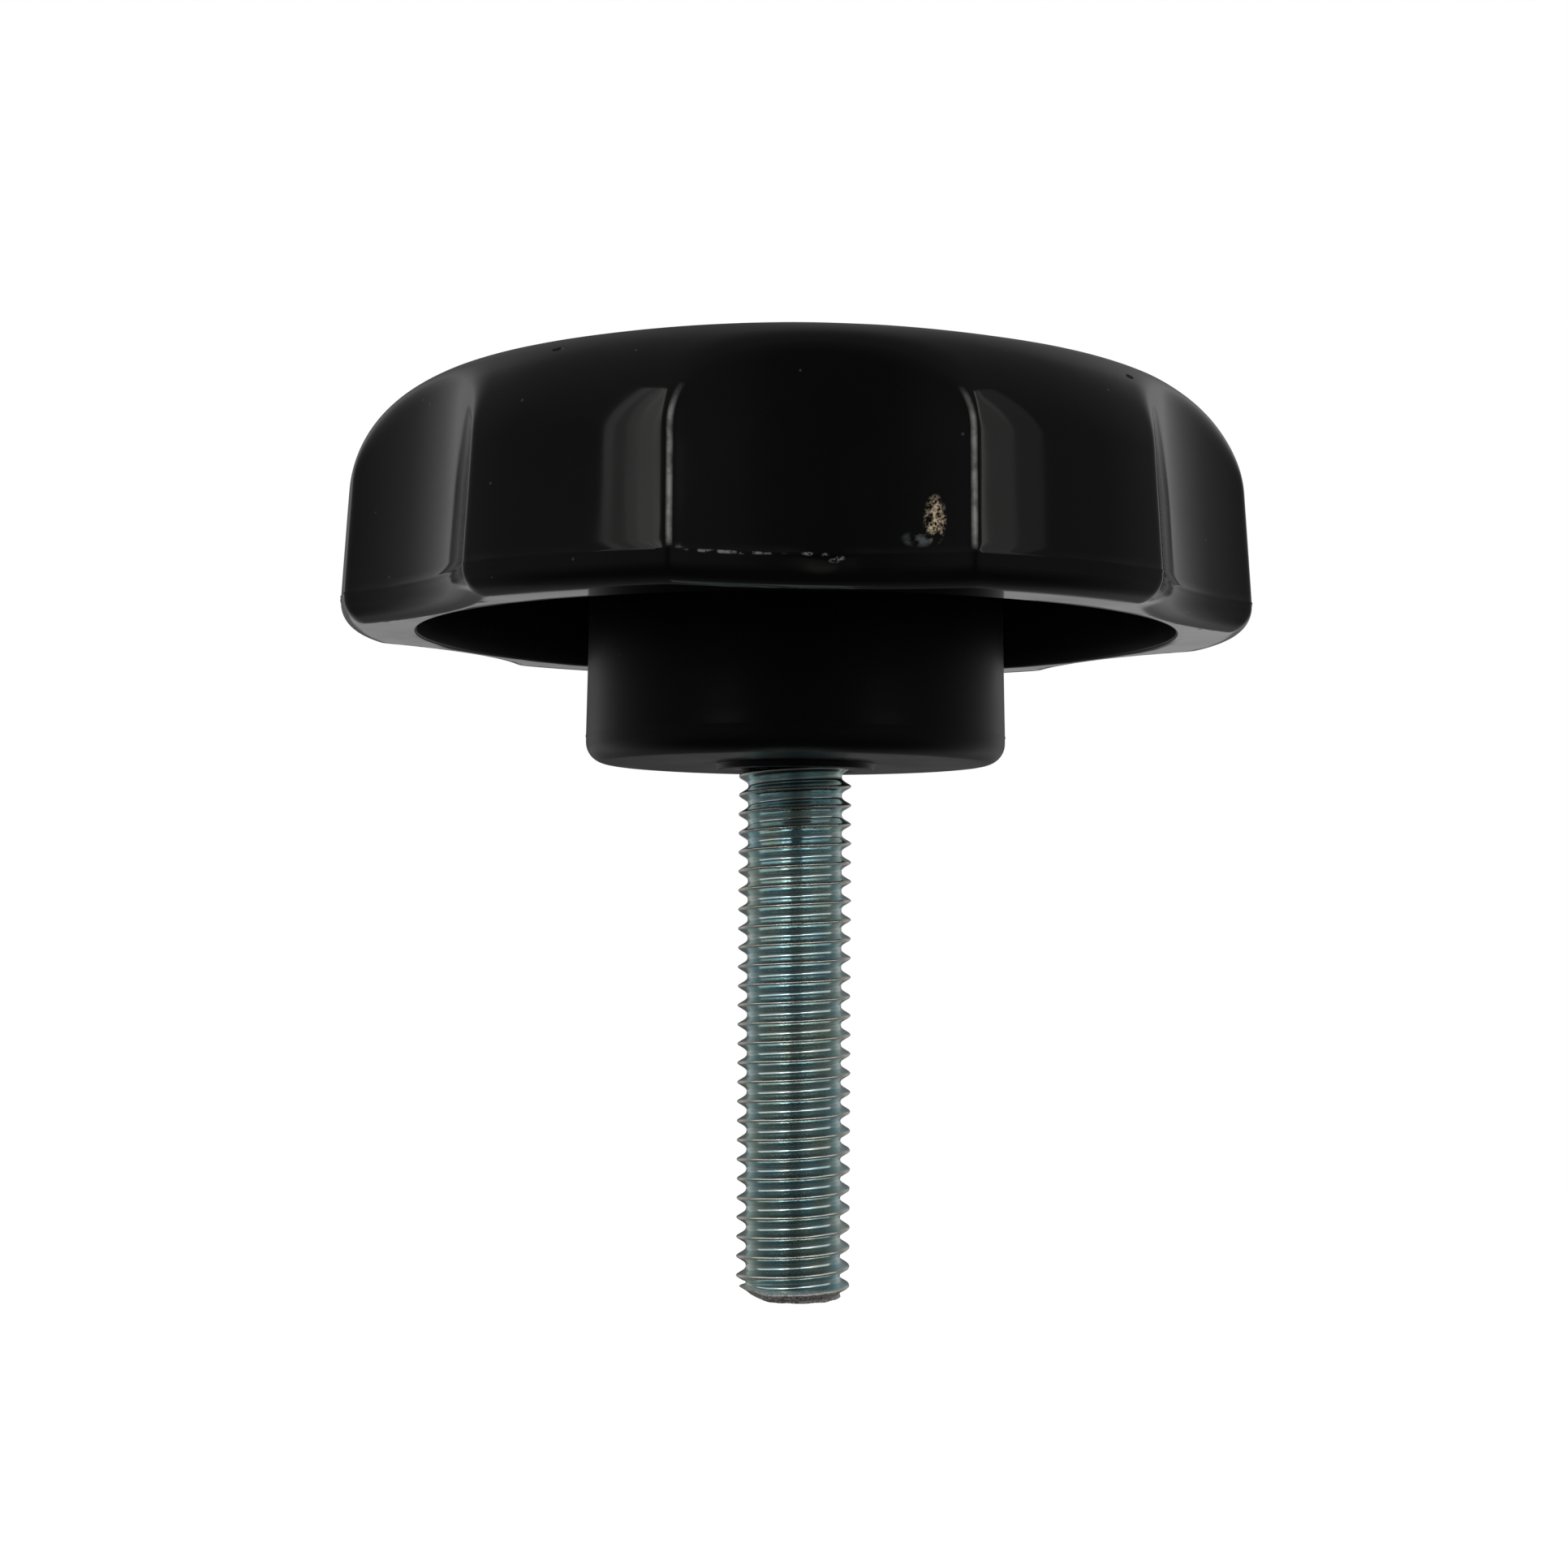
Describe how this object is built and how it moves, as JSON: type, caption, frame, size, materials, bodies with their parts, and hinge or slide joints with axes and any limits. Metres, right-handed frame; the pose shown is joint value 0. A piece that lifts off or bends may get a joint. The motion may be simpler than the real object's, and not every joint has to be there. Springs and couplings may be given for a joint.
{
  "type": "lobed hand knob",
  "caption": "Domed black plastic hand knob with finger scallops round its rim, a hollow underside and a moulded-in threaded steel stud, for clamping or levelling by hand.",
  "frame": {"origin": "on the stud's axis where its thread begins, just below the hub", "axes": "+Z along the stud's axis towards the dome, -Z the way the stud points, -Y through the middle of a finger scallop"},
  "size_m": [0.0752, 0.072, 0.0786],
  "materials": {
    "black_plastic": "polished black thermoset moulding",
    "zinc_plated_steel": "blue zinc plating on rolled steel"
  },
  "bodies": {
    "root": {"knob_head": "black_plastic", "threaded_stud": "zinc_plated_steel"}
  },
  "joints": []
}
